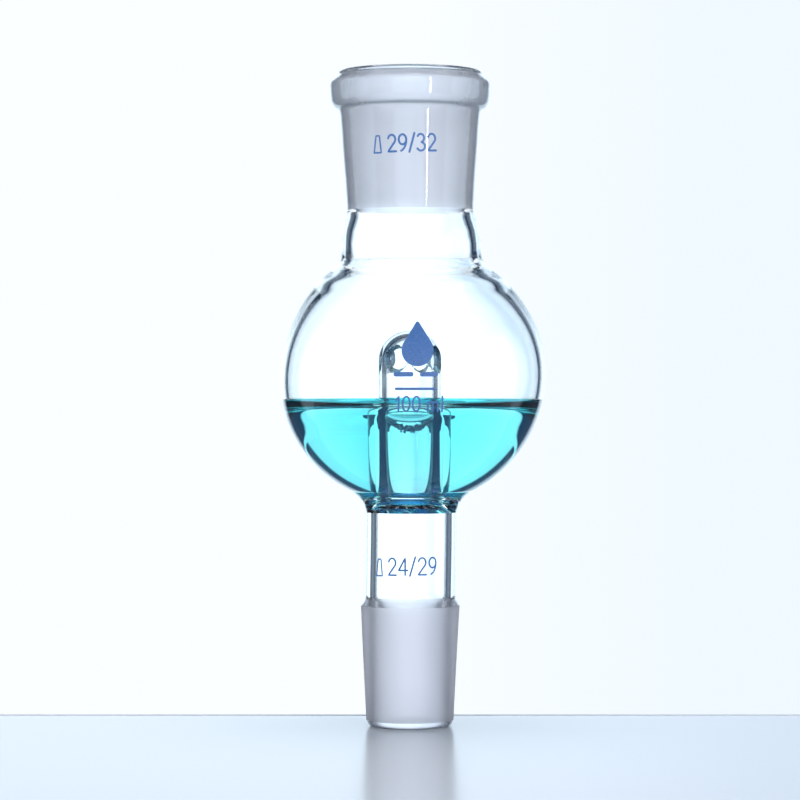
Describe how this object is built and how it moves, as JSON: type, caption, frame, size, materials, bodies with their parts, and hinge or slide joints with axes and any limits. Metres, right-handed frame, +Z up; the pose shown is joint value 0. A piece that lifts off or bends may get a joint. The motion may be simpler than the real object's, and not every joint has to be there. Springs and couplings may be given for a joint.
{
  "type": "rotary evaporator bump trap",
  "caption": "Glass bump trap for a rotary evaporator: ground socket on top, round bulb with a domed vapour tube inside, ground cone below, and blue liquid caught in the bulb.",
  "frame": {"origin": "centre of the flat tip of the lower cone, which is the bottom of the part, on the glass's axis", "axes": "+Z up along the axis, from the cone to the socket; -Y is the side with the markings"},
  "size_m": [0.0644, 0.0644, 0.1593],
  "materials": {
    "clear_glass": "polished",
    "ground_glass": "satin",
    "blue_liquid": "polished",
    "blue_enamel": "satin"
  },
  "bodies": {
    "root": {"socket_joint": "ground_glass", "upper_neck": "clear_glass", "bulb": "clear_glass", "vapour_tube": "clear_glass", "ring_seal": "clear_glass", "lower_neck": "clear_glass", "cone_joint": "ground_glass", "trapped_liquid": "blue_liquid"}
  },
  "joints": []
}
